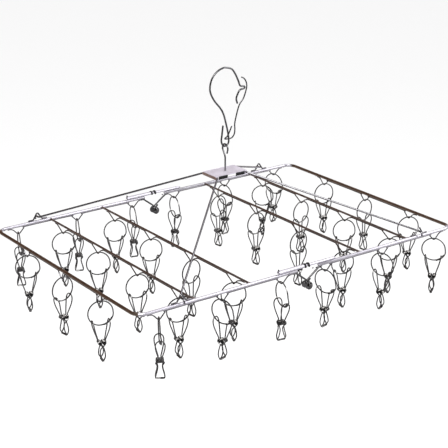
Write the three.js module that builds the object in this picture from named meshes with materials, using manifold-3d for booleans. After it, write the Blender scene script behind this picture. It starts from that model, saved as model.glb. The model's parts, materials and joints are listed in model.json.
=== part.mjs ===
// Folding clip drying hanger in stainless wire: a two-part frame with hanging pinches,
// a swivelling centre plate on four legs, and a pole hook with a spring gate.
// Millimetres, +Z up. The origin is the underside of the hook's crest, where the pole sits.
import * as THREE from 'three';
import { mergeVertices } from 'three/addons/utils/BufferGeometryUtils.js';
import Module from 'manifold-3d';

const wasm = await Module();
wasm.setup();

// Driving dimensions
const GAP = 0.3;
const RAIL_Z = -245;
const HALF_LENGTH = 280;
const HALF_WIDTH = 194;
const CORNER_R = 12;
const RAIL_R = 2.4;
const BAR_R = 1.5;
const WAVE_R = 0.9;
const BAR_X = [99, 190.5];
const RAIL_DIP_X = {
  front: { left: [45, 146, 247], right: [33, 141, 245] },
  back: { left: [41, 143, 245], right: [39, 141, 245] },
};
const BAR_DIP_Y = [-155, -53, 53, 155];
const END_DIP_Y = [-102, 0, 102];
const DIP_DEPTH = 12.5;
const RAIL_DIP_HALF = 14;
const BAR_DIP_HALF = 15;
const FUSE = 0.5;

const FOLD_DROP = 25;
const FOLD_LEG_X = 17;
const FOLD_LEG_R = 1.4;
const COIL_IN_R = 3.8;
const COIL_OUT_R = 6.6;
const COIL_LENGTH = 5.6;
const PIN_HEAD_R = 5;
const PIN_HEAD_T = 1.2;

const STUB_R = 1.5;
const STUB_RISE = 3.4;
const STUB_LEFT_END = 52;
const STUB_RIGHT_END = 50;
const SLEEVE_LENGTH = 98;
const SLEEVE_WALL = 1.5;
const BEAD_R = 4;
const BEAD_W = 2.6;
const BEAD_X = 3.2;
const SLEEVE_CUT = 1.5;
const SLEEVE_X = -3;

const BRACKET_X = 212;
const BRACKET_R = 1.2;
const BRACKET_RISE = 9;
const BRACKET_HALF = 7;
const BRACKET_FOOT = 16;
const ARM_R = 1.4;
const ARM_PIVOT_RISE = 8;
const ARM_HOOK_OUT = 7;

const BARREL_X = 27;
const BARREL_RISE = 88.5;
const BARREL_IN_R = 1.75;
const BARREL_OUT_R = 2.9;
const PLATE_HALF_Y = 17;
const BARREL_HALF_Y = 15;
const PLATE_T = 1.4;
const PLATE_HOLE_R = 1.9;
const FLANGE_DROP = 5;
const FLANGE_IN_X = 8;
const ROD_R = 1.25;
const ROD_EYE_R = 6.5;
const NUT_R = 5;
const NUT_T = 3.2;

const HOOK_R = 1.5;
const HOOK_BOTTOM_Z = -115.85;
const GATE_R = 1;

const RING_R = 17.4;
const RING_WIRE = 0.7;
const RING_LIFT = 2.6;
const CLIP_WIRE = 0.7;
const HANDLE_ANGLE = THREE.MathUtils.degToRad(-42);
const HANDLE_HALF = 6;
const WAIST_Z = -60;
const JAW_END_Z = -84.7;
const JAW_HALF = 6.2;
const SPRING_R = 2.9;
const SPRING_HALF = 5;
const SPRING_OUT = 2.4;

// Way each ring's axis points at rest, in degrees from +X, as the pinches happen to hang
const RING_YAWS = {
  left: {
    front: [-10, 19, -29],
    back: [-15, -21, -20],
    bar1: [66, 99, 76, 72],
    bar2: [80, 82, 70, 74],
    end: [75, 98, 70],
  },
  right: {
    front: [15, 22, 39],
    back: [-7, 6, 18],
    bar1: [74, 96, 94, 99],
    bar2: [57, 64, 98, 56],
    end: [70, 96, 79],
  },
};

const MATERIALS = {
  rail: [0xc9c6d2, 0.28],
  bar: [0x6f6258, 0.35],
  wire: [0x8f9094, 0.3],
  ring: [0x9a9ba0, 0.28],
  spring: [0x3d3b3c, 0.45],
  plate: [0xa9a4b4, 0.35],
};

const V = (x, y, z) => new THREE.Vector3(x, y, z);

// A path through given corners, sampled exactly at them
class WirePath extends THREE.Curve {
  constructor(points) {
    super();
    this.points = points;
    this.last = points.length - 1;
  }

  getPoint(t) {
    const i = Math.min(Math.floor(t * this.last), this.last - 1);
    return this.points[i].clone().lerp(this.points[i + 1], t * this.last - i);
  }

  getPointAt(u) {
    return this.getPoint(u);
  }

  direction(i) {
    const k = THREE.MathUtils.clamp(i, 0, this.last - 1);
    return this.points[k + 1].clone().sub(this.points[k]).normalize();
  }

  getTangentAt(u) {
    const i = Math.round(u * this.last);
    return this.direction(i - 1).add(this.direction(i)).normalize();
  }
}

function polygon(radius, sides) {
  const corners = [];
  for (let k = 0; k < sides; k += 1) {
    const a = ((k + 0.5) / sides) * 2 * Math.PI;
    corners.push(new THREE.Vector2(radius * Math.cos(a), radius * Math.sin(a)));
  }
  return new THREE.Shape(corners);
}

function wire(points, radius, sides) {
  return new THREE.ExtrudeGeometry(polygon(radius, sides), {
    steps: points.length - 1,
    extrudePath: new WirePath(points),
    bevelEnabled: false,
  });
}

function solid(geometry) {
  const plain = geometry.clone();
  plain.deleteAttribute('normal');
  plain.deleteAttribute('uv');
  const merged = mergeVertices(plain, 1e-4);
  const mesh = new wasm.Mesh({
    numProp: 3,
    vertProperties: new Float32Array(merged.attributes.position.array),
    triVerts: new Uint32Array(merged.index.array),
  });
  return new wasm.Manifold(mesh);
}

function fuse(geometries) {
  return geometries.map(solid).reduce((a, b) => a.add(b));
}

function toGeometry(body) {
  const mesh = body.getMesh();
  const geometry = new THREE.BufferGeometry();
  geometry.setAttribute('position', new THREE.BufferAttribute(mesh.vertProperties, 3));
  geometry.setIndex(new THREE.BufferAttribute(mesh.triVerts, 1));
  const flat = geometry.toNonIndexed();
  flat.computeVertexNormals();
  return flat;
}

function addNode(group, name, geometry, look) {
  const [color, roughness] = MATERIALS[look];
  const material = new THREE.MeshStandardMaterial({ color, roughness, metalness: 0.9 });
  const mesh = new THREE.Mesh(geometry, material);
  mesh.name = name;
  group.add(mesh);
  return mesh;
}

function tubeAlongY(inner, outer, length, sides) {
  const h = length / 2;
  const profile = [[inner, -h], [outer, -h], [outer, h], [inner, h], [inner, -h]];
  return new THREE.LatheGeometry(profile.map(([r, y]) => new THREE.Vector2(r, y)), sides);
}

function box(width, depth, height, x, y, z) {
  return new THREE.BoxGeometry(width, depth, height).translate(x, y, z);
}

// One dip of the hanger wire, as (along, height) pairs under a bar
function dipProfile(centre, half, top) {
  return [
    [centre - half, top],
    [centre - 2.2, 0.8 - DIP_DEPTH],
    [centre, -DIP_DEPTH],
    [centre + 2.2, 0.8 - DIP_DEPTH],
    [centre + half, top],
  ];
}

function hangerWire(centres, half, barRadius, place) {
  const top = FUSE - barRadius - WAVE_R;
  const profile = [...centres].sort((a, b) => a - b).flatMap((c) => dipProfile(c, half, top));
  const first = [profile[0][0] - 4, top];
  const final = [profile[profile.length - 1][0] + 4, top];
  const points = [first, ...profile, final].map(([s, z]) => place(s, RAIL_Z + z));
  return wire(points, WAVE_R, 4);
}

function cornerPoints(cx, cy, from) {
  return [0, 1, 2, 3].map((k) => {
    const a = from + (k / 3) * (Math.PI / 2);
    return V(cx + CORNER_R * Math.cos(a), cy + CORNER_R * Math.sin(a), RAIL_Z);
  });
}

// The U-shaped outer rod of the half on the -X side
function outerRod() {
  const cx = CORNER_R - HALF_LENGTH;
  const cy = HALF_WIDTH - CORNER_R;
  const points = [
    V(-FOLD_LEG_X - 2, HALF_WIDTH, RAIL_Z),
    ...cornerPoints(cx, cy, Math.PI / 2),
    ...cornerPoints(cx, -cy, Math.PI),
    V(-FOLD_LEG_X - 2, -HALF_WIDTH, RAIL_Z),
  ];
  return wire(points, RAIL_R, 8);
}

// One leg from a rail's end down to its share of the fold coil
function foldLeg(ySign, coilY) {
  const y = ySign * HALF_WIDTH;
  const points = [
    V(-FOLD_LEG_X - 8, y, RAIL_Z),
    V(-FOLD_LEG_X, y, RAIL_Z),
    V(-FOLD_LEG_X + 4, y, RAIL_Z - 3.5),
    V(-COIL_OUT_R + 0.4, y + coilY, RAIL_Z - FOLD_DROP + 3.5),
    V(-COIL_OUT_R + 1.2, y + coilY, RAIL_Z - FOLD_DROP),
  ];
  return wire(points, FOLD_LEG_R, 6);
}

function foldCoil(ySign, coilY) {
  const coil = tubeAlongY(COIL_IN_R, COIL_OUT_R, COIL_LENGTH, 10);
  return coil.translate(0, ySign * HALF_WIDTH + coilY, RAIL_Z - FOLD_DROP);
}

function stub(ySign, reach) {
  const y = ySign * HALF_WIDTH;
  const z = RAIL_Z + STUB_RISE;
  return wire([V(-reach, y, z), V(-1, y, z)], STUB_R, 8);
}

// Everything on one half's outer rod; side -1 is the left half, 1 the right
function frameHalf(side) {
  const coilY = side * (COIL_LENGTH / 2 + GAP / 2);
  const reach = side < 0 ? STUB_LEFT_END : STUB_RIGHT_END;
  const name = side < 0 ? 'left' : 'right';
  const pieces = [outerRod()];
  for (const ySign of [-1, 1]) {
    const along = (s, z) => V(s, ySign * HALF_WIDTH, z);
    const dips = RAIL_DIP_X[ySign < 0 ? 'front' : 'back'][name].map((x) => -x);
    pieces.push(hangerWire(dips, RAIL_DIP_HALF, RAIL_R, along));
    pieces.push(foldLeg(ySign, coilY), foldCoil(ySign, coilY), stub(ySign, reach));
  }
  pieces.push(hangerWire(END_DIP_Y, BAR_DIP_HALF, RAIL_R, (s, z) => V(-HALF_LENGTH, s, z)));
  const body = fuse(pieces);
  return toGeometry(side < 0 ? body : body.mirror([1, 0, 0]));
}

function crossBar(x) {
  const end = HALF_WIDTH - RAIL_R - GAP;
  const rod = wire([V(x, -end, RAIL_Z), V(x, end, RAIL_Z)], BAR_R, 6);
  const hanger = hangerWire(BAR_DIP_Y, BAR_DIP_HALF, BAR_R, (s, z) => V(x, s, z));
  return toGeometry(fuse([rod, hanger]));
}

function bracket(x, ySign) {
  const base = RAIL_Z + RAIL_R + BRACKET_R + GAP;
  const y = ySign * HALF_WIDTH;
  const points = [
    V(x - BRACKET_FOOT, y, base),
    V(x - BRACKET_HALF, y, base),
    V(x - 1, y, base + BRACKET_RISE),
    V(x + 1, y, base + BRACKET_RISE),
    V(x + BRACKET_HALF, y, base),
    V(x + BRACKET_FOOT, y, base),
  ];
  return wire(points, BRACKET_R, 6);
}

// Half-open sleeve that rides on the stubs above a rail joint
function lockSleeve(ySign) {
  const outer = STUB_R + GAP + SLEEVE_WALL;
  const y = ySign * HALF_WIDTH;
  const z = RAIL_Z + STUB_RISE;
  const turn = (g) => g.rotateZ(Math.PI / 2).translate(0, y, z);
  const shell = fuse([
    turn(new THREE.CylinderGeometry(outer, outer, SLEEVE_LENGTH, 12)),
    turn(new THREE.CylinderGeometry(BEAD_R, BEAD_R, BEAD_W, 16).translate(0, BEAD_X, 0)),
    turn(new THREE.CylinderGeometry(BEAD_R, BEAD_R, BEAD_W, 16).translate(0, -BEAD_X, 0)),
  ]);
  const inner = STUB_R + GAP;
  const bore = turn(new THREE.CylinderGeometry(inner, inner, SLEEVE_LENGTH + 2, 12));
  const slot = box(SLEEVE_LENGTH + 2, 2 * inner, BEAD_R, 0, y, z - BEAD_R / 2);
  const under = box(SLEEVE_LENGTH + 2, 4 * BEAD_R, BEAD_R, 0, y, z - SLEEVE_CUT - BEAD_R / 2);
  const channel = shell.subtract(solid(bore)).subtract(solid(slot)).subtract(solid(under));
  return toGeometry(channel.translate([SLEEVE_X, 0, 0]));
}

function foldPin(ySign) {
  const half = COIL_LENGTH + GAP / 2 + GAP;
  const shaft = COIL_IN_R - GAP;
  const profile = [
    [0, -half - PIN_HEAD_T],
    [PIN_HEAD_R, -half - PIN_HEAD_T],
    [PIN_HEAD_R, -half],
    [shaft, -half],
    [shaft, half],
    [PIN_HEAD_R, half],
    [PIN_HEAD_R, half + PIN_HEAD_T],
    [0, half + PIN_HEAD_T],
  ];
  const pin = new THREE.LatheGeometry(profile.map(([r, y]) => new THREE.Vector2(r, y)), 12);
  return pin.translate(0, ySign * HALF_WIDTH, RAIL_Z - FOLD_DROP);
}

// A leg wire: through the plate's barrel, out to both brackets of one half
function arm(side) {
  const barrel = (y) => V(side * BARREL_X, y, RAIL_Z + BARREL_RISE);
  const pivotZ = RAIL_Z + ARM_PIVOT_RISE;
  const pivot = (y) => V(side * BRACKET_X, y, pivotZ);
  const bend = PLATE_HALF_Y + 2;
  const inside = HALF_WIDTH - 6;
  const outside = HALF_WIDTH + ARM_HOOK_OUT;
  const near = barrel(bend).lerp(pivot(inside), 0.985);
  const mirror = (p) => V(p.x, -p.y, p.z);
  const half = [
    barrel(bend - 2),
    barrel(bend).lerp(pivot(inside), 0.01),
    near,
    pivot(inside + 2),
    pivot(outside - 1.5),
    V(side * BRACKET_X, outside, pivotZ - 1.5),
    V(side * BRACKET_X, outside, pivotZ - 6),
  ];
  return wire([...half.map(mirror).reverse(), ...half], ARM_R, 6);
}

// The barrel on the +X side is left open towards +X, so its leg can leave and return
function centrePlate() {
  const barrelZ = RAIL_Z + BARREL_RISE;
  const top = barrelZ + BARREL_OUT_R;
  const slabZ = top - PLATE_T / 2;
  const flangeZ = top - FLANGE_DROP / 2;
  const flangeLength = BARREL_X - 4 - FLANGE_IN_X;
  const pieces = [box(2 * BARREL_X, 2 * PLATE_HALF_Y, PLATE_T, 0, 0, slabZ)];
  for (const x of [-1, 1]) {
    const barrel = new THREE.CylinderGeometry(BARREL_OUT_R, BARREL_OUT_R, 2 * BARREL_HALF_Y, 14);
    pieces.push(barrel.translate(x * BARREL_X, 0, barrelZ));
    for (const y of [-1, 1]) {
      const centre = x * (FLANGE_IN_X + flangeLength / 2);
      const wallY = y * (PLATE_HALF_Y - PLATE_T / 2);
      pieces.push(box(flangeLength, PLATE_T, FLANGE_DROP, centre, wallY, flangeZ));
    }
  }
  let body = fuse(pieces);
  for (const x of [-1, 1]) {
    const bore = new THREE.CylinderGeometry(BARREL_IN_R, BARREL_IN_R, 4 * PLATE_HALF_Y, 12);
    body = body.subtract(solid(bore.translate(x * BARREL_X, 0, barrelZ)));
  }
  const slotX = BARREL_X + BARREL_OUT_R;
  const slot = box(2 * BARREL_OUT_R, 4 * PLATE_HALF_Y, 2 * BARREL_IN_R, slotX, 0, barrelZ);
  body = body.subtract(solid(slot));
  const hole = new THREE.CylinderGeometry(PLATE_HOLE_R, PLATE_HOLE_R, 20, 12);
  return toGeometry(body.subtract(solid(hole.rotateX(Math.PI / 2).translate(0, 0, top))));
}

function arc(cx, cz, radius, fromDeg, toDeg, steps, place) {
  const points = [];
  for (let k = 0; k <= steps; k += 1) {
    const a = THREE.MathUtils.degToRad(fromDeg + ((toDeg - fromDeg) * k) / steps);
    points.push(place(cx + radius * Math.cos(a), cz + radius * Math.sin(a)));
  }
  return points;
}

// Swivel rod: stem through the plate and an open eye over the hook's lower bend
function swivelRod() {
  const eyeTop = HOOK_BOTTOM_Z + HOOK_R + ROD_R + 0.4;
  const centre = eyeTop - ROD_EYE_R;
  const points = [
    V(0, 0, RAIL_Z + BARREL_RISE - 7.5),
    V(0, 0, centre - 12),
    V(0, 3, centre - 7.5),
    ...arc(0, centre, ROD_EYE_R, -25, 205, 10, (y, z) => V(0, y, z)),
    V(0, -4.4, centre - 6.2),
  ];
  return wire(points, ROD_R, 6);
}

function swivelNut() {
  const top = RAIL_Z + BARREL_RISE + BARREL_OUT_R - PLATE_T - GAP;
  const inner = ROD_R + GAP;
  const nut = tubeAlongY(inner, NUT_R, NUT_T, 6);
  return nut.rotateX(Math.PI / 2).translate(0, 0, top - NUT_T / 2);
}

// Pole hook: lower bend, stem, loop over the pole, gate catch and tail
function mainHook() {
  const place = (x, z) => V(x, 0, z);
  const lower = [[-4, -84], [-6, -99], [-7, -106], [-6, -111], [-3.4, -114.9]];
  const stem = [[3.4, -114.9], [6, -111], [6.2, -105], [4.4, -94], [0.5, -78.5]];
  const shoulder = [[-3.6, -66], [-9, -57], [-18, -46.5], [-24, -37]];
  const tip = [[11, -1.8], [17.5, -9.5], [23.2, -20.5], [27, -29]];
  const hairpin = [[33.4, -30.4], [35.2, -32.4], [33.4, -34.2], [26.4, -35.4]];
  const tail = [[21.6, -42.5], [20, -48], [22, -55]];
  const low = [...lower, [0, HOOK_BOTTOM_Z], ...stem, ...shoulder];
  const points = [
    ...low.map(([x, z]) => place(x, z)),
    ...arc(0, -25.5, 27, 188, 90, 8, place),
    ...[...tip, ...hairpin, ...tail].map(([x, z]) => place(x, z)),
  ];
  return wire(points, HOOK_R, 6);
}

// Spring gate: catch end at the top, eye round the hook's stem at the bottom
function gate() {
  const outer = [
    [29, 0, -16.5], [33.5, 0, -18.8], [37.4, 0, -24], [39, 0, -31], [37, 0, -39.5],
    [32.8, 0, -49], [26.6, 0, -56], [22.5, 0, -65], [17.5, 0, -83], [17.5, 0, -93],
    [16.5, 0, -100], [12.5, 1, -105.5],
  ];
  const eye = [
    [7, 3.8, -107], [1.5, 2.5, -106], [0, 0, -103.5], [1.5, -2.6, -101], [5, -3.2, -95],
    [9.8, -3, -86],
  ];
  return wire([...outer, ...eye].map(([x, y, z]) => V(x, y, z)), GATE_R, 6);
}

// Pinch parts in their own frame: origin on the ring's top wire, ring in the YZ plane
function ring() {
  const torus = new THREE.TorusGeometry(RING_R, RING_WIRE, 3, 12);
  return torus.rotateY(Math.PI / 2).translate(0, 0, -RING_R);
}

// One clip half: a teardrop handle on the ring, drawn in at the coils, then out to a flat jaw
// whose ends are butted. side is +1 or -1 across the waist; reach is how far the handle's end
// sits from the ring's centre; shoulder is the wire's distance from the waist beside the coils.
function clipHalf(side, reach, shoulder) {
  const topY = reach * Math.cos(HANDLE_ANGLE);
  const topZ = reach * Math.sin(HANDLE_ANGLE) - RING_R;
  const jawY = CLIP_WIRE + GAP / 2;
  const waistX = SPRING_HALF + CLIP_WIRE + GAP;
  const edge = [
    [HANDLE_HALF - 2, topY, topZ - 1],
    [HANDLE_HALF, topY - 1, topZ - 5.5],
    [1.1, shoulder, WAIST_Z + 2],
    [waistX, shoulder, WAIST_Z - 0.5],
    [JAW_HALF, jawY, JAW_END_Z],
    [GAP / 2, jawY, JAW_END_Z],
  ];
  const leg = edge.map(([x, y, z]) => V(x, side * y, z));
  const other = leg.map((p) => V(-p.x, p.y, p.z));
  return wire([...leg.reverse(), V(0, side * topY, topZ), ...other], CLIP_WIRE, 3);
}

function springCoils() {
  const coils = [-1, 1].map((side) => {
    const coil = new THREE.CylinderGeometry(SPRING_R, SPRING_R, 2 * SPRING_HALF, 6);
    return coil.rotateZ(Math.PI / 2).translate(0, side * SPRING_OUT, WAIST_Z);
  });
  return fuse(coils);
}

function joinedPinch() {
  const reach = RING_R - 2 * CLIP_WIRE + FUSE;
  const shoulder = SPRING_OUT + SPRING_R - FUSE;
  const halves = [-1, 1].map((side) => clipHalf(side, reach, shoulder));
  return toGeometry(fuse([ring(), ...halves]).add(springCoils()));
}

// Where the pinches hang: name, bar position, and the way the ring's axis points
function pinchPlaces() {
  const places = [];
  for (const [half, side] of [['left', -1], ['right', 1]]) {
    const yaws = RING_YAWS[half];
    const add = (row, k, x, y) => {
      const name = `pinch_${half[0]}_${row}_${k + 1}`;
      places.push({ name, x: side * x, y, yaw: yaws[row][k] });
    };
    RAIL_DIP_X.front[half].forEach((x, k) => add('front', k, x, -HALF_WIDTH));
    RAIL_DIP_X.back[half].forEach((x, k) => add('back', k, x, HALF_WIDTH));
    BAR_X.forEach((x, b) => BAR_DIP_Y.forEach((y, k) => add(`bar${b + 1}`, k, x, y)));
    END_DIP_Y.forEach((y, k) => add('end', k, HALF_LENGTH, y));
  }
  return places;
}

const DETAILED = 'pinch_l_front_2';

function placePinch(mesh, place) {
  mesh.position.set(place.x, place.y, RAIL_Z - DIP_DEPTH + RING_LIFT);
  mesh.rotation.z = THREE.MathUtils.degToRad(place.yaw);
}

function detailedPinch(group, place) {
  const reach = RING_R - 2 * CLIP_WIRE - GAP;
  const shoulder = SPRING_OUT + SPRING_R + CLIP_WIRE + GAP;
  const parts = [
    ['ring', ring(), 'ring'],
    ['jaw_a', clipHalf(1, reach, shoulder), 'wire'],
    ['jaw_b', clipHalf(-1, reach, shoulder), 'wire'],
    ['spring', toGeometry(springCoils()), 'spring'],
  ];
  for (const [suffix, geometry, look] of parts) {
    const mesh = addNode(group, `${place.name}_${suffix}`, geometry, look);
    placePinch(mesh, place);
  }
}

function addPinches(group) {
  const joined = joinedPinch();
  for (const place of pinchPlaces()) {
    if (place.name === DETAILED) {
      detailedPinch(group, place);
    } else {
      placePinch(addNode(group, place.name, joined, 'wire'), place);
    }
  }
}

function buildHanger() {
  const group = new THREE.Group();
  addNode(group, 'main_hook', mainHook(), 'wire');
  addNode(group, 'gate', gate(), 'wire');
  addNode(group, 'swivel_rod', swivelRod(), 'wire');
  addNode(group, 'swivel_nut', swivelNut(), 'wire');
  addNode(group, 'centre_plate', centrePlate(), 'plate');
  for (const [name, side] of [['left', -1], ['right', 1]]) {
    addNode(group, `${name}_rail`, frameHalf(side), 'rail');
    addNode(group, `${name}_arm`, arm(side), 'wire');
    BAR_X.forEach((x, k) => {
      addNode(group, `${name}_bar_${k + 1}`, crossBar(side * x), 'bar');
    });
    for (const [end, y] of [['front', -1], ['back', 1]]) {
      addNode(group, `${name}_bracket_${end}`, bracket(side * BRACKET_X, y), 'wire');
    }
  }
  for (const [end, y] of [['front', -1], ['back', 1]]) {
    addNode(group, `lock_sleeve_${end}`, lockSleeve(y), 'rail');
    addNode(group, `fold_pin_${end}`, foldPin(y), 'wire');
  }
  addPinches(group);
  return group;
}

export default buildHanger();
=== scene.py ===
import json
import math

import bmesh
import bpy
import numpy as np
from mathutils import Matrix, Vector


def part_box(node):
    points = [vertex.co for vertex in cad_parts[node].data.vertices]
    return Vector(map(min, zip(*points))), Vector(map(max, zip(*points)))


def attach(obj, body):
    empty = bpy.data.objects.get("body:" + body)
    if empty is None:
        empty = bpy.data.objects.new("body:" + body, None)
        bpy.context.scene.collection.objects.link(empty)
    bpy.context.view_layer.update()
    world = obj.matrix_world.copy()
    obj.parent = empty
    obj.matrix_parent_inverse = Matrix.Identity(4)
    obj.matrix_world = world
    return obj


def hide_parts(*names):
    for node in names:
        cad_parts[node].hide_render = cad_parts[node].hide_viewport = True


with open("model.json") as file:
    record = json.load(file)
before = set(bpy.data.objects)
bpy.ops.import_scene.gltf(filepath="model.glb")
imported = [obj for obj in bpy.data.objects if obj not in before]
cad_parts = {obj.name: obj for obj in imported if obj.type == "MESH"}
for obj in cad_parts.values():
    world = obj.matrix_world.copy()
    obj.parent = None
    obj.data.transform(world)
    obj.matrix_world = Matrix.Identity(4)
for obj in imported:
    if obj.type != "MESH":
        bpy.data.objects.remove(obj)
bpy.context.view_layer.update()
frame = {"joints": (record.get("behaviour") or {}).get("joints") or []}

MM = 0.001
# Sign of X on each half, and of Y along each edge
SIDES = {-1: "left", 1: "right"}
EDGES = {"front": -1, "back": 1}

# Frame rods
RAIL_Z = -245.0
HALF_LENGTH = 280.0
HALF_WIDTH = 194.0
CORNER_R = 15.0
RAIL_R = 2.4
# Where the outer rod turns from rail to end, whose browner steel is a painted brown reflection
END_X = HALF_LENGTH - 0.25 * CORNER_R
BAR_R = 1.62
BAR_HALF = HALF_WIDTH - RAIL_R + 0.3
# How far from a cross bar's end its weld swells, and to which radius
BAR_WELD = ((3.2, 1.55), (2.0, 1.75), (0.8, 2.1), (0.1, 2.2))

# Hanger wires, which dip for their pinches
HANGER_R = 0.9
HANGER_SINK = 0.15
HANGER_END = 4
DIP_DEPTH = 12.5
DIP_HALF = 14.0
END_DIPS = (-102, 0, 102)
BAR_DIPS = (-155, -53, 53, 155)
# Spot welds: their places from a dip's middle, and each one's radius along its length
WELD_PLACES = (-DIP_HALF - 9.4, DIP_HALF + 7.4)
WELD_SINK = 0.05
WELD_SHAPE = ((-1.5, 0.5), (-1.0, 0.8), (0.0, 0.95), (1.0, 0.8), (1.5, 0.5))

# Fold springs and pins
FOLD_DROP = 25.0
FOLD_Z = RAIL_Z - FOLD_DROP
LEG_X = 17.0
ROD_END_X = LEG_X + 2
LEG_R = 1.4
LEG_SINK = 0.9
LEG_START_X = LEG_X + 9
LEG_BEND_X = LEG_X + 4
LANE_GAP = 0.25
COIL_R = 4.6
COIL_START = 51
COIL_SWEEP = 561
COIL_STEP = 17
COIL_TAIL = 10.0
COIL_THINNING = 0.28
COIL_MARGIN = 1.5
PIN_R = 2.7
PIN_HEAD_R = 3.4
PIN_HALF = 7.7

# Guide rods and lock sleeves
STUB_RISE = 4.0
STUB_R = 1.5
STUB_REACH = {"left": 51.5, "right": 50.0}
SLEEVE_HALF = 49.0
SLEEVE_X = -3.0
SLEEVE_BORE = STUB_R + 0.3
SLEEVE_WIDE_R = 3.2
SLEEVE_NARROW_R = 2.3
SLEEVE_OVERLAP = 0.4
BEAD_R = 4.0
BEAD_X = 3.2
BEAD_HALF = 1.3
LIP_R = 0.95

# Legs and centre plate
BRACKET_X = 212.0
BRACKET_R = 1.2
BRACKET_SINK = 0.1
BRACKET_REACH = 16
BRACKET_HALF = 7.5
BRACKET_RISE = 11.6
ARM_R = 1.4
ARM_PIVOT_Z = RAIL_Z + 8.0
BARREL_X = 27.0
BARREL_Z = RAIL_Z + 88.5
BARREL_R = 2.3
SHEET_T = 1.2
PLATE_HALF_Y = 16.4
CLIP_INSET = 1.4
TAB_X = 15.5
TAB_HALF = 7.8
TAB_DROP = 4.6

# Hook, gate and swivel rod
HOOK_WIRE = 1.32
HOOK_LOOP_R = 27.0
HOOK_LOOP_Z = -25.5
HOOK_BOTTOM_Z = -115.85
GATE_R = 1.0
ROD_R = 1.25
ROD_FOOT_Z = RAIL_Z + 81
ROD_EYE_R = 6.5
ROD_EYE_GAP = 0.58
NUT_CORNER_R = 4.9
NUT_BORE_R = 1.6
NUT_CHAMFER = 0.6

# Pinches, in their own frame: origin on the ring's top wire, U along the spring, V across it
RING_R = 17.4
RING_WIRE = 0.95
PINCH_Z = RAIL_Z - DIP_DEPTH + 1.7
CLIP_WIRE = 0.9
WAIST_Z = -60.0
JAW_Z = -86.0
SPRING_V = 2.9
SPRING_R = 2.3
SPRING_HALF = 4.6
SPRING_WIRE = 0.55
SPRING_TURNS = 8
SPRING_STEPS = 10
# Painted shade in each pinch coil's hollow: the dark tube's inner radius and half length
BORE_R = 0.6
BORE_HALF = SPRING_HALF + 0.7
# How far the grain moves on for each millimetre in X and Y, and where it starts again
GRAIN_STEPS = (37.0, 11.0)
GRAIN_SPAN = 400
# The one pinch that opens, with its ring, jaws and spring as CAD nodes of their own
OPENING_PINCH = "pinch_l_front_2"
# Way each ring's axis points at rest, in degrees from +X, as the pinches happen to hang
RING_YAWS = {
    "l": {
        "front": (-10, 19, -29),
        "back": (-15, -21, -20),
        "bar1": (66, 99, 76, 72),
        "bar2": (80, 82, 70, 74),
        "end": (75, 98, 70),
    },
    "r": {
        "front": (15, 22, 39),
        "back": (-7, 6, 18),
        "bar1": (74, 96, 94, 99),
        "bar2": (57, 64, 98, 56),
        "end": (70, 96, 79),
    },
}

# Finish of cut ends and edges: shares of a wire's radius and how far in they come, and a bevel
DOME = ((0.6, 0.0), (0.86, 0.12), (1.0, 0.4))
BEVEL = 0.12

# Camera, lights and floor, in metres and degrees, but the lens in its usual millimetres and the
# shifts in shares of the 448 x 448 picture
CAMERA_AZIMUTH = -36.13
CAMERA_ELEVATION = 20.29
CAMERA_TARGET = (0, 0, -0.245)
CAMERA_DISTANCE = 1.969
CAMERA_LENS = 105.45
CAMERA_SHIFT = (-1.2 / 448, 4.7 / 448)
LIGHT_TARGET = (0, 0, -0.2)
FLOOR_HALF = 30.0
FLOOR_Z = -1.4


# ---------------------------------------------------------------- curves


def smooth(points, steps):
    """Catmull-Rom curve through the points."""
    pts = np.array(points, float)
    run = [2 * pts[0] - pts[1], *pts, 2 * pts[-1] - pts[-2]]
    out = []
    for a, b, c, d in zip(run, run[1:], run[2:], run[3:]):
        square, cube = 2 * a - 5 * b + 4 * c - d, 3 * b - a - 3 * c + d
        for k in range(steps):
            t = k / steps
            out.append(0.5 * (2 * b + (c - a) * t + square * t**2 + cube * t**3))
    out.append(pts[-1])
    return np.array(out)


def rounded(points, radius, steps):
    """Straight runs between the points with every bend rounded to about the radius."""
    pts = np.array(points, float)
    longest_cut = 0.48
    out = [pts[0]]
    for before, corner, after in zip(pts, pts[1:], pts[2:]):
        to_a, to_b = before - corner, after - corner
        len_a, len_b = np.linalg.norm(to_a), np.linalg.norm(to_b)
        to_a, to_b = to_a / len_a, to_b / len_b
        half = math.acos(float(np.clip(to_a @ to_b, -1, 1))) / 2
        cut = min(radius / math.tan(half), longest_cut * len_a, longest_cut * len_b)
        turn = cut * math.tan(half)
        middle = (to_a + to_b) / np.linalg.norm(to_a + to_b)
        centre = corner + middle * math.hypot(cut, turn)
        start, end = corner + to_a * cut - centre, corner + to_b * cut - centre
        sweep_angle = math.pi - 2 * half
        for k in range(steps + 1):
            t = k / steps
            mix = math.sin((1 - t) * sweep_angle) * start + math.sin(t * sweep_angle) * end
            out.append(centre + mix / math.sin(sweep_angle))
    out.append(pts[-1])
    return np.array(out)


def arc(cx, cy, radius, start, end, count):
    """Points round a centre, from one angle to another in degrees."""
    angles = np.radians(np.linspace(start, end, count))
    return [(cx + radius * math.cos(a), cy + radius * math.sin(a)) for a in angles]


def sided(path, side):
    """The path for the left half, or its mirror image for the right half."""
    return np.array(path) * (-side, 1, 1)


def strip(centre_line, thickness):
    """A closed outline that follows an open line at half the thickness either side."""
    line = np.array(centre_line, float)
    t = np.gradient(line, axis=0)
    t /= np.linalg.norm(t, axis=1)[:, None]
    normal = np.stack([-t[:, 1], t[:, 0]], axis=1) * thickness / 2
    return np.concatenate([line + normal, (line - normal)[::-1]])


def open_ring(outer, inner, droop, count):
    """A ring's outline, open below: both of its arms end droop degrees under its middle."""
    return arc(0, 0, outer, -droop, 180 + droop, count) + arc(0, 0, inner, 180 + droop, -droop, count)


# ---------------------------------------------------------------- meshes


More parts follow.
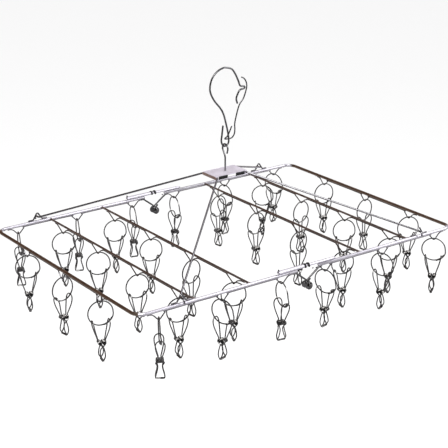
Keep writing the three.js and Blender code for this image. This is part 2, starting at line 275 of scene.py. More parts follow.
def quads(rings, around, closed=False):
    """Faces between each ring of vertices and the next, and from the last to the first if closed."""
    for i in range(rings if closed else rings - 1):
        j = (i + 1) % rings
        for k in range(around):
            m = (k + 1) % around
            yield i * around + k, i * around + m, j * around + m, j * around + k


class Shape:
    """Vertices, faces and the along-the-wire coordinate of one piece."""

    def __init__(self):
        self.verts = []
        self.faces = []
        self.grain = []

    def add(self, verts, faces, grain):
        """Joins more vertices to the piece, with faces that count from the first of them."""
        start = len(self.verts)
        self.verts.extend(verts)
        self.grain.extend(grain)
        self.faces.extend([tuple(start + i for i in f) for f in faces])
        return self

    def wire(self, path, radius, sides):
        """Round wire along a path, with slightly domed cut ends; the radius may be a list."""
        path = np.array(path, float)
        radii = np.full(len(path), radius) if np.isscalar(radius) else np.array(radius, float)
        path, radii = self.domed(path, radii)
        tangents = np.gradient(path, axis=0)
        tangents /= np.linalg.norm(tangents, axis=1)[:, None]
        lengths = np.concatenate([[0], np.cumsum(np.linalg.norm(np.diff(path, axis=0), axis=1))])
        verts, grain = [], []
        for p, r, t, n, along in zip(path, radii, tangents, self.normals(tangents), lengths):
            b = np.cross(t, n)
            for k in range(sides):
                a = 2 * math.pi * k / sides
                verts.append(p + r * (math.cos(a) * n + math.sin(a) * b))
                grain.append((r * math.cos(a), r * math.sin(a), along))
        last = (len(path) - 1) * sides
        ends = [tuple(range(sides - 1, -1, -1)), tuple(range(last, last + sides))]
        return self.add(verts, [*quads(len(path), sides), *ends], grain)

    @staticmethod
    def domed(path, radii):
        """Puts the dome's growing rings in place of the first and last points."""
        head, tail = path[1] - path[0], path[-2] - path[-1]
        head, tail = head / np.linalg.norm(head), tail / np.linalg.norm(tail)
        first, last = radii[0], radii[-1]
        front = [path[0] + head * depth * first for _, depth in DOME]
        back = [path[-1] + tail * depth * last for _, depth in reversed(DOME)]
        sizes = [share * first for share, _ in DOME] + [*radii[1:-1]]
        sizes += [share * last for share, _ in reversed(DOME)]
        return np.array([*front, *path[1:-1], *back]), np.array(sizes)

    @staticmethod
    def normals(tangents):
        """Normals carried along the path without twist."""
        t = tangents[0]
        n = np.cross(t, (0, 0, 1) if abs(t[2]) < 0.9 else (0, 1, 0))
        out = [n / np.linalg.norm(n)]
        for t in tangents[1:]:
            n = out[-1] - t * (out[-1] @ t)
            out.append(n / np.linalg.norm(n))
        return out

    def extrude(self, outline, start, end, place):
        """A closed (s, t) outline pushed from start to end, with small bevels at both ends."""
        outline = np.array(outline, float)
        count = len(outline)
        following = np.roll(outline, -1, axis=0) - np.roll(outline, 1, axis=0)
        inward = np.stack([-following[:, 1], following[:, 0]], axis=1)
        inward /= np.linalg.norm(inward, axis=1)[:, None]
        sections = [(start, BEVEL), (start + BEVEL, 0), (end - BEVEL, 0), (end, BEVEL)]
        verts, grain = [], []
        for depth, inset in sections:
            for s, t in outline + inward * inset:
                verts.append(place(s, t, depth))
                grain.append((s, t, depth))
        last = (len(sections) - 1) * count
        ends = [tuple(range(count)), tuple(range(last + count - 1, last - 1, -1))]
        return self.add(verts, [*ends, *quads(len(sections), count)], grain)

    def lathe(self, profile, steps, place, first=0.0):
        """A closed (radius, depth) profile turned right round, from the given part of a step."""
        verts, grain = [], []
        for i in range(steps):
            a = 2 * math.pi * (i + first) / steps
            for r, d in profile:
                verts.append(place(r * math.cos(a), r * math.sin(a), d))
                grain.append((r * math.cos(a), r * math.sin(a), d))
        return self.add(verts, quads(steps, len(profile), closed=True), grain)


def piece(name, shape, material, body, nodes, sharp=35):
    """Makes the object, in metres, riding on its body and standing for its CAD nodes.

    Edges that turn more than sharp degrees aren't shaded smooth.
    """
    mesh = bpy.data.meshes.new(name)
    mesh.from_pydata([tuple(p * MM) for p in np.array(shape.verts)], [], shape.faces)
    mesh.validate()
    grain = mesh.attributes.new("grain", "FLOAT_VECTOR", "POINT")
    grain.data.foreach_set("vector", np.array(shape.grain, np.float32).ravel())
    obj = bpy.data.objects.new(name, mesh)
    bpy.context.scene.collection.objects.link(obj)
    recalculate(mesh)
    mesh.materials.append(material)
    mesh.polygons.foreach_set("use_smooth", [True] * len(mesh.polygons))
    mesh.set_sharp_from_angle(angle=math.radians(sharp))
    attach(obj, body)
    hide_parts(*nodes)
    return obj


def recalculate(mesh):
    """Turns every face's normal outwards."""
    bm = bmesh.new()
    bm.from_mesh(mesh)
    bmesh.ops.recalc_face_normals(bm, faces=bm.faces)
    bm.to_mesh(mesh)
    bm.free()


# ---------------------------------------------------------------- materials

# Scale of the grain coordinate's axes: low along drawn wire's length and along rolled sheet's
WIRE_GRAIN = (2.2, 2.2, 0.05)
SHEET_GRAIN = (0.05, 2.0, 2.0)
# Noise values with the darkest and lightest steel, and those with the glossiest and dullest
TARNISH_RANGE = (0.32, 0.66)
GLOSS_RANGE = (0.3, 0.7)
GLOSS_SPREAD = (0.75, 1.35)
LINE_SCALE = 3.0
CLOUD_SCALE = 60.0
RELIEF_DEPTH = 0.02
RELIEF_STRENGTH = 0.35


def shader_node(tree, kind, **inputs):
    """A new node. Inputs are named with _ for a space, and hold a value or another node's output."""
    node = tree.nodes.new(f"ShaderNode{kind}")
    for name, value in inputs.items():
        socket = node.inputs[name.replace("_", " ")]
        if isinstance(value, bpy.types.NodeSocket):
            tree.links.new(value, socket)
        else:
            socket.default_value = value
    return node


def steel(name, dark, light, rough, metallic=1.0, grain_scale=WIRE_GRAIN):
    """Drawn or rolled stainless steel: lines along the grain, cloudy tarnish, fine bump."""
    material = bpy.data.materials.new(name)
    material.use_nodes = True
    tree = material.node_tree
    tree.nodes.clear()

    grain = shader_node(tree, "Attribute")
    grain.attribute_name = "grain"
    stretch = shader_node(tree, "Mapping", Vector=grain.outputs["Vector"], Scale=grain_scale)
    lines = shader_node(tree, "TexNoise", Vector=stretch.outputs["Vector"], Scale=LINE_SCALE, Detail=3.0)
    place = shader_node(tree, "TexCoord")
    clouds = shader_node(tree, "TexNoise", Vector=place.outputs["Object"], Scale=CLOUD_SCALE, Detail=4.0)
    blend = shader_node(tree, "Mix", Factor=0.5, A=lines.outputs["Fac"], B=clouds.outputs["Fac"])

    ramp = shader_node(tree, "ValToRGB", Fac=blend.outputs["Result"])
    for element, position, colour in zip(ramp.color_ramp.elements, TARNISH_RANGE, (dark, light)):
        element.position = position
        element.color = (*colour, 1)
    gloss = shader_node(
        tree,
        "MapRange",
        Value=blend.outputs["Result"],
        From_Min=GLOSS_RANGE[0],
        From_Max=GLOSS_RANGE[1],
        To_Min=rough * GLOSS_SPREAD[0],
        To_Max=rough * GLOSS_SPREAD[1],
    )
    relief = shader_node(
        tree,
        "Bump",
        Height=lines.outputs["Fac"],
        Strength=RELIEF_STRENGTH,
        Distance=RELIEF_DEPTH * MM,
    )
    shader = shader_node(
        tree,
        "BsdfPrincipled",
        Base_Color=ramp.outputs["Color"],
        Metallic=metallic,
        Roughness=gloss.outputs["Result"],
        Normal=relief.outputs["Normal"],
    )
    shader_node(tree, "OutputMaterial", Surface=shader.outputs["BSDF"])
    return material


def sheet_steel(name, dark, light, rough, metallic=1.0):
    """Steel whose lines run along rolled sheet."""
    return steel(name, dark, light, rough, metallic, SHEET_GRAIN)


# All these are one stainless steel, toned apart for light: the rail and plate steels' pale lilac is
# painted sheen, and the browner and darker copies are painted reflection and shade
RAIL_STEEL = steel("rail_steel", (0.58, 0.56, 0.61), (0.76, 0.74, 0.8), 0.32, 0.86)
# Browner, darker copy of the rail steel for the rod's ends and corners: painted brown reflection and
# shade
END_REFLECTION_STEEL = steel("end_reflection_steel", (0.26, 0.195, 0.15), (0.44, 0.34, 0.265), 0.3)
# Brown copy of the rail steel for the cross bars: painted brown reflection
BAR_REFLECTION_STEEL = steel("bar_reflection_steel", (0.25, 0.195, 0.17), (0.44, 0.35, 0.3), 0.3)
# Darker copy of the hanger steel for the bars' hangers: painted shade
BAR_HANGER_SHADE_STEEL = steel("bar_hanger_shade_steel", (0.09, 0.075, 0.066), (0.22, 0.18, 0.16), 0.26)
HANGER_STEEL = steel("hanger_steel", (0.15, 0.145, 0.15), (0.3, 0.29, 0.3), 0.26)
ARM_STEEL = steel("arm_steel", (0.24, 0.235, 0.245), (0.42, 0.41, 0.43), 0.22)
HOOK_STEEL = steel("hook_steel", (0.08, 0.08, 0.082), (0.26, 0.26, 0.265), 0.2)
PINCH_STEEL = steel("pinch_steel", (0.1, 0.097, 0.094), (0.26, 0.255, 0.25), 0.22)
# Near-black and barely metallic, so the fold springs' legs look dark: painted shade
SHADED_SPRING_STEEL = steel("shaded_spring_steel", (0.012, 0.012, 0.013), (0.13, 0.126, 0.13), 0.24, 0.35)
COIL_STEEL = steel("coil_steel", (0.08, 0.077, 0.074), (0.36, 0.35, 0.34), 0.24)
PLATE_STEEL = sheet_steel("plate_steel", (0.6, 0.56, 0.64), (0.72, 0.68, 0.76), 0.42, 0.45)
# Brown copy of the plate steel for the rolled barrel: painted brown reflection
ROLL_REFLECTION_STEEL = sheet_steel("roll_reflection_steel", (0.3, 0.2, 0.165), (0.48, 0.36, 0.32), 0.34, 0.75)
# Near-black, for the plate's tabs: painted dark reflection on the flanges
FLANGE_REFLECTION_STEEL = sheet_steel("flange_reflection_steel", (0.02, 0.02, 0.02), (0.07, 0.07, 0.07), 0.35)
# Black for the sleeve beads and the lip, and painted shade for the dark tubes in the pinch coils
BEAD_BLACK_AND_SHADE_STEEL = steel("bead_black_and_shade_steel", (0.012, 0.012, 0.012), (0.05, 0.05, 0.05), 0.32)


# ---------------------------------------------------------------- frame halves


def pinch_places():
    """Each pinch's name and the point it hangs from, in mm, from the frame's joints."""
    places = {}
    for joint in frame["joints"]:
        name = joint["name"]
        if name.endswith("_hang"):
            key = OPENING_PINCH if name == "ring_hang" else name.removesuffix("_hang")
            places[key] = [v / MM for v in joint["pos_m"]]
    return places


PINCH_PLACES = pinch_places()


def rail_dips(side, edge):
    """Dip places on one rail, from the hang joints of its pinches."""
    start = f"pinch_{SIDES[side][0]}_{edge}_"
    return sorted(place[0] for name, place in PINCH_PLACES.items() if name.startswith(start))


def bar_places(side):
    """Where a half's two cross bars lie, from the hang joint of the first pinch on each."""
    return [PINCH_PLACES[f"pinch_{SIDES[side][0]}_bar{n}_1"][0] for n in (1, 2)]


def even_dip(centre, top):
    """A dip with a narrow foot and two flanks that spread evenly."""
    low = -DIP_DEPTH
    flank = [(DIP_HALF, top), (0.66 * DIP_HALF, top - 1.7), (3.1, low + 1.6), (1.3, low + 0.25)]
    front = [(centre - s, z) for s, z in flank]
    back = [(centre + s, z) for s, z in reversed(flank)]
    return [*front, (centre, low), *back]


def leaning_dip(centre, top):
    """A dip with a straight flank towards the back and one to the front that steepens to its foot."""
    low = -DIP_DEPTH
    front = [(-21, top), (-14.5, top - 1.0), (-7.7, low + 6.2), (-3.0, low + 1.7), (-1.2, low + 0.25)]
    back = [(0, low), (1.2, low + 0.2), (3.1, low + 1.6), (16.0, top - 0.9), (19.0, top)]
    return [(centre + s, z) for s, z in front + back]


def hanger(centres, rod_r, place, dip=even_dip):
    """The wire under a rod, with a dip at each centre and spot welds either side of every dip."""
    top = -rod_r - HANGER_R + HANGER_SINK
    points = [point for c in centres for point in dip(c, top)]
    first, last = points[0][0] - HANGER_END, points[-1][0] + HANGER_END
    points = [(first, top), *points, (last, top)]
    shape = Shape().wire(smooth([place(s, RAIL_Z + z) for s, z in points], 5), HANGER_R, 8)
    for c in centres:
        for offset in WELD_PLACES:
            line = [place(c + offset + s, RAIL_Z - rod_r + WELD_SINK) for s, _ in WELD_SHAPE]
            shape.wire(line, [r for _, r in WELD_SHAPE], 8)
    return shape


def outer_rod(side):
    """The rod round a half's three outer sides, from one centre joint to the other."""
    far, near, y = HALF_LENGTH, ROD_END_X, HALF_WIDTH
    corners = [(-near, y, RAIL_Z), (-far, y, RAIL_Z), (-far, -y, RAIL_Z), (-near, -y, RAIL_Z)]
    return sided(rounded(corners, CORNER_R, 10), side)


def fold_leg(side, y_sign):
    """Spring wire from under a rail's end, across the middle, round the fold pin to a loose tail."""
    y = y_sign * HALF_WIDTH
    lane = side * (LEG_R + LANE_GAP)
    hip = RAIL_Z - RAIL_R - LEG_R + LEG_SINK
    start = [(-LEG_START_X, y, hip), (-LEG_BEND_X, y, hip)]
    angles = np.radians(np.arange(COIL_START, COIL_START - COIL_SWEEP - 1, -COIL_STEP))
    turns = []
    for a in angles:
        drift = side * 2 * LEG_R * (angles[0] - a) / (2 * math.pi)
        turns.append((COIL_R * math.cos(a), y + lane + drift, FOLD_Z + COIL_R * math.sin(a)))
    away = np.array(turns[-1]) - np.array(turns[-2])
    away[1] = 0
    tail = np.array(turns[-1]) + away / np.linalg.norm(away) * COIL_TAIL
    leg = rounded([*start, turns[0]], 4, 6)[:-1]
    return sided(smooth([*leg, *turns, (turns[-1] + tail) / 2, tail], 2), side)


def coil_wire_r(point):
    """The fold spring's wire is drawn a little thinner in its coil, so that its turns show."""
    from_pin = math.hypot(point[0], point[2] - FOLD_Z)
    return LEG_R - COIL_THINNING * max(0.0, min(1.0, COIL_R + COIL_MARGIN - from_pin))


def stub_path(side, y_sign):
    """The guide rod over a rail's end."""
    y, z = y_sign * HALF_WIDTH, RAIL_Z + STUB_RISE
    reach = STUB_REACH[SIDES[side]]
    return sided([(-reach, y, z), (-reach / 2, y, z), (-1, y, z)], side)


def frame_half(side):
    """One half's outer rod, and the hanger wires, guide rods and fold springs along its edges."""
    name = SIDES[side]
    body = f"{name}_half"
    node = f"{name}_rail"
    rod = Shape().wire(outer_rod(side), RAIL_R, 16)
    outer = piece(f"{name}_outer_rod", rod, RAIL_STEEL, body, [node])
    # Past END_X the rod's faces take the browner steel: painted brown reflection on the same rod
    outer.data.materials.append(END_REFLECTION_STEEL)
    for face in outer.data.polygons:
        face.material_index = int(abs(face.center.x) > END_X * MM)
    for edge, y_sign in EDGES.items():
        along = lambda s, z, y=y_sign * HALF_WIDTH: (s, y, z)
        wire = hanger(rail_dips(side, edge), RAIL_R, along)
        piece(f"{name}_hanger_{edge}", wire, HANGER_STEEL, body, [node])
        stub = Shape().wire(stub_path(side, y_sign), STUB_R, 12)
        piece(f"{name}_stub_{edge}", stub, RAIL_STEEL, body, [node])
        path = fold_leg(side, y_sign)
        leg = Shape().wire(path, [coil_wire_r(p) for p in path], 10)
        # The fold springs' near-black steel is painted shade
        piece(f"{name}_fold_spring_{edge}", leg, SHADED_SPRING_STEEL, body, [node])
    wire = hanger(END_DIPS, RAIL_R, lambda s, z: (side * HALF_LENGTH, s, z))
    piece(f"{name}_hanger_end", wire, HANGER_STEEL, body, [node])


def cross_bars(side):
    """A half's two bars between the rails, welded at both ends, each with its hanger wire."""
    name = SIDES[side]
    for n, x in enumerate(bar_places(side), 1):
        rod = Shape().wire([(x, y, RAIL_Z) for y in (-BAR_HALF, 0, BAR_HALF)], BAR_R, 12)
        for y_sign in EDGES.values():
            weld = [(x, y_sign * (BAR_HALF - inset), RAIL_Z) for inset, _ in BAR_WELD]
            rod.wire(weld, [r for _, r in BAR_WELD], 10)
        wire = hanger(BAR_DIPS, BAR_R, lambda s, z, x=x: (x, s, z), leaning_dip)
        node = f"{name}_bar_{n}"
        # The bar rods' brown is painted brown reflection
        piece(f"{node}_rod", rod, BAR_REFLECTION_STEEL, f"{name}_half", [node])
        # The bar hangers' darker steel is painted shade
        piece(f"{node}_hanger", wire, BAR_HANGER_SHADE_STEEL, f"{name}_half", [node])


def brackets(side):
    """The peaked wire loops on the rails that hold a leg wire's feet."""
    name = SIDES[side]
    x = side * BRACKET_X
    base = RAIL_Z + RAIL_R + BRACKET_R - BRACKET_SINK
    rise = [(-BRACKET_REACH, base), (-BRACKET_HALF, base)]
    fall = [(BRACKET_HALF, base), (BRACKET_REACH, base)]
    run = [*rise, (0, base + BRACKET_RISE), *fall]
    for edge, y_sign in EDGES.items():
        path = rounded([(x + s, y_sign * HALF_WIDTH, z) for s, z in run], 2.0, 6)
        node = f"{name}_bracket_{edge}"
        loop = Shape().wire(path, BRACKET_R, 10)
        piece(f"{node}_loop", loop, HANGER_STEEL, f"{name}_half", [node])


# ---------------------------------------------------------------- centre joint


def lock_sleeve(edge, y_sign):
    """A channel over both guide rods, wide on the left, with two dark beads and a turned-up lip."""
    y, z = y_sign * HALF_WIDTH, RAIL_Z + STUB_RISE
    place = lambda s, t, d: (SLEEVE_X + d, y + s, z + t)
    node, body = f"lock_sleeve_{edge}", f"sleeve_{edge}"
    shell = Shape()
    wide = open_ring(SLEEVE_WIDE_R, SLEEVE_BORE, 18, 19)
    narrow = open_ring(SLEEVE_NARROW_R, SLEEVE_BORE, 18, 19)
    shell.extrude(wide, -SLEEVE_HALF, -BEAD_X, place)
    shell.extrude(narrow, -BEAD_X - SLEEVE_OVERLAP, SLEEVE_HALF, place)
    piece(f"{node}_shell", shell, RAIL_STEEL, body, [node])
    beads = Shape()
    for x in (-BEAD_X, BEAD_X):
        beads.extrude(open_ring(BEAD_R, SLEEVE_BORE, 22, 25), x - BEAD_HALF, x + BEAD_HALF, place)
    piece(f"{node}_beads", beads, BEAD_BLACK_AND_SHADE_STEEL, body, [node])
    left = SLEEVE_X - SLEEVE_HALF
    lip = rounded([(left + 3, y, z + 2.5), (left + 1, y, z + 2.7), (left + 0.2, y, z + 5.4)], 1.2, 5)
    piece(f"{node}_lip", Shape().wire(lip, LIP_R, 10), BEAD_BLACK_AND_SHADE_STEEL, body, [node])


def fold_pin(edge, y_sign):
    """The rivet that the fold springs coil round, with a shallow head at each end."""
    y = y_sign * HALF_WIDTH
    place = lambda s, t, d: (s, y + d, FOLD_Z + t)
    r, end = PIN_HEAD_R, -PIN_HALF
    profile = [(0.01, end - 1.1), (r - 1.6, end - 1.1), (r - 0.3, end - 0.6), (r, end - 0.1)]
    profile += [(r - 0.2, end + 0.1), (PIN_R, end + 0.1)]
    profile += [(radius, -d) for radius, d in reversed(profile)]
    pin = Shape().lathe(profile, 24, place)
    piece(f"fold_pin_{edge}_rivet", pin, PINCH_STEEL, "left_half", [f"fold_pin_{edge}"])


# ---------------------------------------------------------------- legs and plate


def leg_wire(side):
    """One wire through the plate's barrel and out to both brackets, with its ends bent down."""
    x, z = -BRACKET_X, ARM_PIVOT_Z
    run = [
        (-BARREL_X, 0, BARREL_Z),
        (-BARREL_X, PLATE_HALF_Y + 1.2, BARREL_Z),
        (x + 2.5, HALF_WIDTH - 6, z + 1.2),
        (x, HALF_WIDTH - 4, z),
        (x, HALF_WIDTH + 6.5, z),
        (x, HALF_WIDTH + 7, z - 6),
    ]
    half = rounded(run, 3.6, 7)
    path = np.concatenate([(half * (1, -1, 1))[::-1][:-1], half])
    arm = f"{SIDES[side]}_arm"
    shape = Shape().wire(sided(path, side), ARM_R, 12)
    piece(f"{SIDES[side]}_leg_wire", shape, ARM_STEEL, arm, [arm])


def centre_plate():
    """Sheet rolled most of the way round the left leg and clipped over the right, with four tabs."""
    node, slot = ["centre_plate"], "plate"
    along = lambda s, t, d: (s, d, t)
    across = lambda s, t, d: (d, s, t)
    barrel = lambda x, start, end: arc(x, BARREL_Z, BARREL_R, start, end, 20)
    flat_z = BARREL_Z + BARREL_R
    flat = [(x, flat_z) for x in np.linspace(BARREL_X - 1, -BARREL_X + 1, 12)]
    flat += barrel(-BARREL_X, 90, 128)
    sheet, roll, tabs = Shape(), Shape(), Shape()
    sheet.extrude(strip(flat, SHEET_T), -PLATE_HALF_Y, PLATE_HALF_Y, along)
    clip_end = PLATE_HALF_Y - CLIP_INSET
    sheet.extrude(strip(barrel(BARREL_X, 48, 312), SHEET_T), -clip_end, clip_end, along)
    roll.extrude(strip(barrel(-BARREL_X, 128.5, 395), SHEET_T), -PLATE_HALF_Y, PLATE_HALF_Y, along)
    for x in (-TAB_X, TAB_X):
        for y_sign in EDGES.values():
            edge = y_sign * (PLATE_HALF_Y - 0.1)
            out = edge + y_sign * 0.35
            curl = [(edge - y_sign * 1.2, flat_z + 0.02), (edge, flat_z - 0.3), (out, flat_z - 1.2)]
            tab = smooth([*curl, (out, flat_z - TAB_DROP)], 4)
            tabs.extrude(strip(tab, SHEET_T - 0.2), x - TAB_HALF, x + TAB_HALF, across)
    # The roll's brown is painted reflection on the same sheet steel
    piece("plate_roll", roll, ROLL_REFLECTION_STEEL, "plate", node)
    piece("plate_sheet", sheet, PLATE_STEEL, "plate", node)
    # The tabs' near-black is painted dark reflection on the sheet steel
    piece("plate_tabs", tabs, FLANGE_REFLECTION_STEEL, "plate", node)


# ---------------------------------------------------------------- hook


def swivel():
    """The upright rod, footed under the plate, with an open eye round the hook and a nut."""
    place = lambda s, t, d: (s, t, d)
    foot, eye_z = ROD_FOOT_Z, HOOK_BOTTOM_Z + HOOK_WIRE + ROD_R + ROD_EYE_GAP - ROD_EYE_R
    stem = [(0, foot), (0, RAIL_Z + 100), (0, eye_z - 17), (0.4, eye_z - 12.5), (3.1, eye_z - 7.4)]
    tail = [(-5.0, eye_z - 5.4), (-4.5, eye_z - 7)]
    points = [*stem, *arc(0, eye_z, ROD_EYE_R, -20, 205, 13), *tail]
    rod = Shape().wire(smooth([(0, y, z) for y, z in points], 4), ROD_R, 12)
    profile = [(0.01, foot - 0.2), (1.6, foot - 0.2), (2.1, foot + 0.3)]
    profile += [(2.1, foot + 1.0), (1.2, foot + 1.4), (0.01, foot + 1.4)]
    rod.lathe(profile, 16, place)
    piece("swivel_wire", rod, HOOK_STEEL, "swivel", ["swivel_rod"])
    bottom, top = (corner[2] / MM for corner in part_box("swivel_nut"))
    end_r = 0.88 * NUT_CORNER_R
    profile = [(NUT_BORE_R, bottom), (end_r, bottom), (NUT_CORNER_R, bottom + NUT_CHAMFER)]
    profile += [(NUT_CORNER_R, top - NUT_CHAMFER), (end_r, top), (NUT_BORE_R, top)]
    nut = Shape().lathe(profile, 6, place, first=0.5)
    piece("swivel_hex_nut", nut, PINCH_STEEL, "swivel", ["swivel_nut"], sharp=25)


def pole_hook():
    """The hook's one wire: a narrow bend at the rod's eye, the loop, and a hairpin with a tail."""
    lower = [(-4, -84), (-6, -99), (-7, -106), (-6, -111), (-3.4, -114.9)]
    stem = [(3.4, -114.9), (6, -111), (6.2, -105), (4.4, -94), (0.5, -78.5)]
    shoulder = [(-3.6, -66), (-9, -57), (-18, -46.5), (-24, -37)]
    loop = arc(0, HOOK_LOOP_Z, HOOK_LOOP_R, 188, 90, 9)
    tip = [(11, -1.8), (17.5, -9.5), (23.2, -20.5), (27, -29)]
    hairpin = [(33.4, -30.4), (35.2, -32.4), (33.4, -34.2), (26.4, -35.4)]
    tail = [(21.6, -42.5), (20, -48), (22, -55)]
    points = [*lower, (0, HOOK_BOTTOM_Z), *stem, *shoulder, *loop, *tip, *hairpin, *tail]
    shape = Shape().wire(smooth([(x, 0, z) for x, z in points], 6), HOOK_WIRE, 14)
    piece("pole_hook_wire", shape, HOOK_STEEL, "hook", ["main_hook"])


def spring_gate():
    """The thinner wire that closes the hook, with an open eye round the hook's stem."""
    outer = [
        (29, 0, -16.5), (33.5, 0, -18.8), (37.4, 0, -24), (39, 0, -31), (37, 0, -39.5),
        (32.8, 0, -49), (26.6, 0, -56), (22.5, 0, -65), (17.5, 0, -83), (17.5, 0, -93),
        (16.5, 0, -100), (12.5, 1, -105.5),
    ]
    eye = [
        (7, 3.8, -107), (1.5, 2.5, -106), (0, 0, -103.5), (1.5, -2.6, -101), (5, -3.2, -95),
        (9.8, -3, -86),
    ]
    shape = Shape().wire(smooth([*outer, *eye], 6), GATE_R, 12)
    piece("spring_gate_wire", shape, HOOK_STEEL, "gate", ["gate"])


# ---------------------------------------------------------------- pinches


def pinch_ring():
    """A bent ring of wire whose two ends lie side by side low down on one edge."""
    start, end, lap_start, lap_length = -153, 257, 175, 30
    lap_offset = 1.4 * RING_WIRE + 0.03
    degrees = np.linspace(start, end, 69)
    lap = np.clip((degrees - lap_start) / lap_length, 0, 1)
    offset = lap_offset * lap * lap * (3 - 2 * lap)
    angles = np.radians(degrees)
    radius = RING_R + offset
    path = np.stack([offset, radius * np.cos(angles), -RING_R + radius * np.sin(angles)], axis=1)
    return Shape().wire(path, RING_WIRE, 8)


def clip_half(side):
    """One wire: a teardrop handle on one side, past the coil, crossing to the jaw on the other."""
    handle = [
        (0, 11.5, -27.7), (2.6, 11.8, -28.1), (5.0, 11.6, -30.2), (6.3, 11.0, -34), (6.0, 9.8, -40),
        (4.4, 7.8, -47), (2.7, 6.0, -53), (1.9, 5.2, -56), (2.2, 5.3, -58), (4.2, 5.0, -60.2),
    ]
    if side > 0:
        crossing = [(4.7, 3.4, -62), (4.4, 0.8, -63.9), (3.3, -1.2, -66), (3.2, -2.6, -69.5)]
    else:
        crossing = [(5.5, 3.4, -62), (5.7, 0.8, -64.2), (4.6, -1.2, -66.8), (3.6, -2.7, -70)]
    jaw = [
        (4.4, -3.4, -75), (5.6, -3.1, -79.5), (6.2, -1.4, -83.2), (6.0, 0.3, -85.2),
        (4.9, 0.95, JAW_Z), (2.8, 0.95, JAW_Z), (0.1, 0.95, JAW_Z),
    ]
    leg = [*handle, *crossing, *jaw]
    other = [(-u, v, z) for u, v, z in leg[1:]]
    curve = smooth([(u, side * v, z) for u, v, z in [*leg[::-1], *other]], 4)
    return Shape().wire(curve, CLIP_WIRE, 8)


def spring_pair():
    """Two coils side by side, wound opposite ways."""
    shape = Shape()
    count = SPRING_TURNS * SPRING_STEPS
    for side in SIDES:
        turns = []
        for k in range(count + 1):
            a = side * 2 * math.pi * k / SPRING_STEPS
            u = -SPRING_HALF + 2 * SPRING_HALF * k / count
            turns.append((u, side * SPRING_V + SPRING_R * math.cos(a), WAIST_Z + SPRING_R * math.sin(a)))
        shape.wire(turns, SPRING_WIRE, 6)
    return shape


def spring_bore_shade():
    """Painted shade in both coils' hollows: dark tubes out to the middle of the wire and just past its
    ends.
    """
    shape = Shape()
    profile = [(BORE_R, -BORE_HALF), (SPRING_R, -BORE_HALF), (SPRING_R, BORE_HALF), (BORE_R, BORE_HALF)]
    for side in SIDES:
        shape.lathe(profile, 12, lambda s, t, d: (d, side * SPRING_V + s, WAIST_Z + t))
    return shape


def turned(shape, angle, origin):
    """A copy of the shape, turned about Z and moved to its place, with grain of its own."""
    c, s = math.cos(angle), math.sin(angle)
    x, y, z = np.array(shape.verts).T
    along = (GRAIN_STEPS[0] * origin[0] + GRAIN_STEPS[1] * origin[1]) % GRAIN_SPAN
    copy = Shape()
    copy.verts = list(np.stack([c * x - s * y, s * x + c * y, z], axis=1) + origin)
    copy.faces = shape.faces
    copy.grain = list(np.array(shape.grain) + (0, 0, along))
    return copy


def pinches():
    """Five pieces for every pinch, riding on one body except in the pinch that opens."""
    parts = {
        "ring": (pinch_ring(), PINCH_STEEL, "wire", "ring", "ring"),
        "half_a": (clip_half(1), PINCH_STEEL, "wire", "clip_jaw_a", "jaw_a"),
        "half_b": (clip_half(-1), PINCH_STEEL, "wire", "clip_jaw_b", "jaw_b"),
        "coils": (spring_pair(), COIL_STEEL, "spring", "clip", "spring"),
        # Dark tubes in the coils' hollows: painted shade
        "bore_shade": (spring_bore_shade(), BEAD_BLACK_AND_SHADE_STEEL, "spring", "clip", "spring"),
    }
    for name, (x, y, _) in PINCH_PLACES.items():
        _, half, row, count = name.split("_")
        yaw = math.radians(RING_YAWS[half][row][int(count) - 1])
        for part, (shape, material, slot, own_body, own_node) in parts.items():
            body, node = (own_body, f"{name}_{own_node}") if name == OPENING_PINCH else (name, name)
            piece(f"{name}.{part}", turned(shape, yaw, (x, y, PINCH_Z)), material, body, [node])


# ---------------------------------------------------------------- stage


def area_light(name, size, energy, place):
    """A soft square light that faces the hanger."""
    data = bpy.data.lights.new(name, "AREA")
    data.size = size
    data.energy = energy
    obj = bpy.data.objects.new(name, data)
    obj.location = place
    obj.rotation_euler = (Vector(LIGHT_TARGET) - Vector(place)).to_track_quat("-Z", "Y").to_euler()
    bpy.context.scene.collection.objects.link(obj)


def ramped(tree, value, low, high):
    """0 at low and 1 at high, whichever of them is greater, with a smooth step between."""
    node = shader_node(tree, "MapRange", Value=value, From_Min=low, From_Max=high)
    node.interpolation_type = "SMOOTHSTEP"
    return node.outputs["Result"]


def times(tree, *values):
    """All the values multiplied together."""
    result = values[0]
    for value in values[1:]:
        node = shader_node(tree, "Math")
        node.operation = "MULTIPLY"
        tree.links.new(result, node.inputs[0])
        tree.links.new(value, node.inputs[1])
        result = node.outputs["Value"]
    return result


def colour_mix(tree, factor, first, second):
    """The first colour where the factor is 0 and the second where it is 1."""
    node = shader_node(tree, "Mix")
    node.data_type = "RGBA"
    tree.links.new(factor, node.inputs["Factor"])
    for name, value in (("A", first), ("B", second)):
        socket = [i for i in node.inputs if i.name == name and i.type == "RGBA"][0]
        if isinstance(value, tuple):
            socket.default_value = (*value, 1)
        else:
            tree.links.new(value, socket)
    return [o for o in node.outputs if o.type == "RGBA"][0]


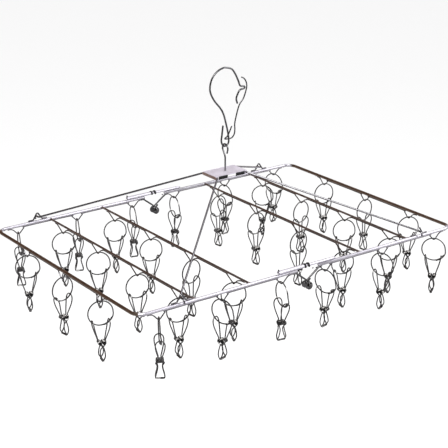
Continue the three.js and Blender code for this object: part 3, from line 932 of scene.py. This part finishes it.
def studio():
    """White surroundings, but metal reflects a dim room: a brown back wall, a paler floor and one
    long softbox that arches from the front over the right-hand side."""
    world = bpy.data.worlds.new("studio")
    bpy.context.scene.world = world
    world.use_nodes = True
    tree = world.node_tree
    tree.nodes.clear()
    coord = shader_node(tree, "TexCoord")
    split = shader_node(tree, "SeparateXYZ", Vector=coord.outputs["Generated"])
    x, y, z = (split.outputs[axis] for axis in "XYZ")
    softbox = times(
        tree,
        ramped(tree, x, 0.3, 0.42),
        ramped(tree, x, 0.82, 0.7),
        ramped(tree, y, 0.71, 0.62),
        ramped(tree, z, -0.6, 0.06),
    )
    walls = colour_mix(tree, ramped(tree, y, 0.5, 0.68), (0.1, 0.1, 0.105), (0.16, 0.1, 0.075))
    ground = colour_mix(tree, ramped(tree, z, 0.0, -0.35), walls, (0.42, 0.41, 0.43))
    light = colour_mix(tree, softbox, ground, (0.95, 0.93, 1.0))
    room = shader_node(tree, "Background", Color=light)
    white = shader_node(tree, "Background", Color=(1, 1, 1, 1))
    path = shader_node(tree, "LightPath")
    mix = shader_node(tree, "MixShader", Fac=path.outputs["Is Glossy Ray"])
    tree.links.new(white.outputs["Background"], mix.inputs[1])
    tree.links.new(room.outputs["Background"], mix.inputs[2])
    shader_node(tree, "OutputWorld", Surface=mix.outputs["Shader"])
    bpy.context.scene.view_settings.view_transform = "Standard"


def floor():
    """A wide pale floor well below the hanger, which doesn't show in its reflections."""
    mesh = bpy.data.meshes.new("floor")
    corners = ((-1, -1), (1, -1), (1, 1), (-1, 1))
    verts = [(x * FLOOR_HALF, y * FLOOR_HALF, FLOOR_Z) for x, y in corners]
    mesh.from_pydata(verts, [], [(0, 1, 2, 3)])
    obj = bpy.data.objects.new("floor", mesh)
    bpy.context.scene.collection.objects.link(obj)
    material = bpy.data.materials.new("pale_floor")
    material.use_nodes = True
    shader = material.node_tree.nodes["Principled BSDF"]
    shader.inputs["Base Color"].default_value = (0.95, 0.95, 0.95, 1)
    shader.inputs["Roughness"].default_value = 0.9
    mesh.materials.append(material)
    obj.visible_glossy = False


def camera():
    """The photograph's view: from the left front and a little above."""
    azimuth, elevation = math.radians(CAMERA_AZIMUTH), math.radians(CAMERA_ELEVATION)
    level = math.cos(elevation)
    back = Vector((math.sin(azimuth) * level, -math.cos(azimuth) * level, math.sin(elevation)))
    data = bpy.data.cameras.new("camera")
    data.lens = CAMERA_LENS
    data.sensor_width = 36
    data.shift_x, data.shift_y = CAMERA_SHIFT
    obj = bpy.data.objects.new("camera", data)
    obj.location = Vector(CAMERA_TARGET) + back * CAMERA_DISTANCE
    obj.rotation_euler = back.to_track_quat("Z", "Y").to_euler()
    bpy.context.scene.collection.objects.link(obj)
    bpy.context.scene.camera = obj


for side in SIDES:
    frame_half(side)
    cross_bars(side)
    brackets(side)
    leg_wire(side)
for edge, y_sign in EDGES.items():
    lock_sleeve(edge, y_sign)
    fold_pin(edge, y_sign)
centre_plate()
swivel()
pole_hook()
spring_gate()
pinches()
floor()
studio()
area_light("key", size=1.6, energy=60, place=(-0.9, -1.5, 1.9))
area_light("fill", size=1.8, energy=25, place=(1.8, -1.0, 1.0))
camera()

bpy.context.view_layer.update()
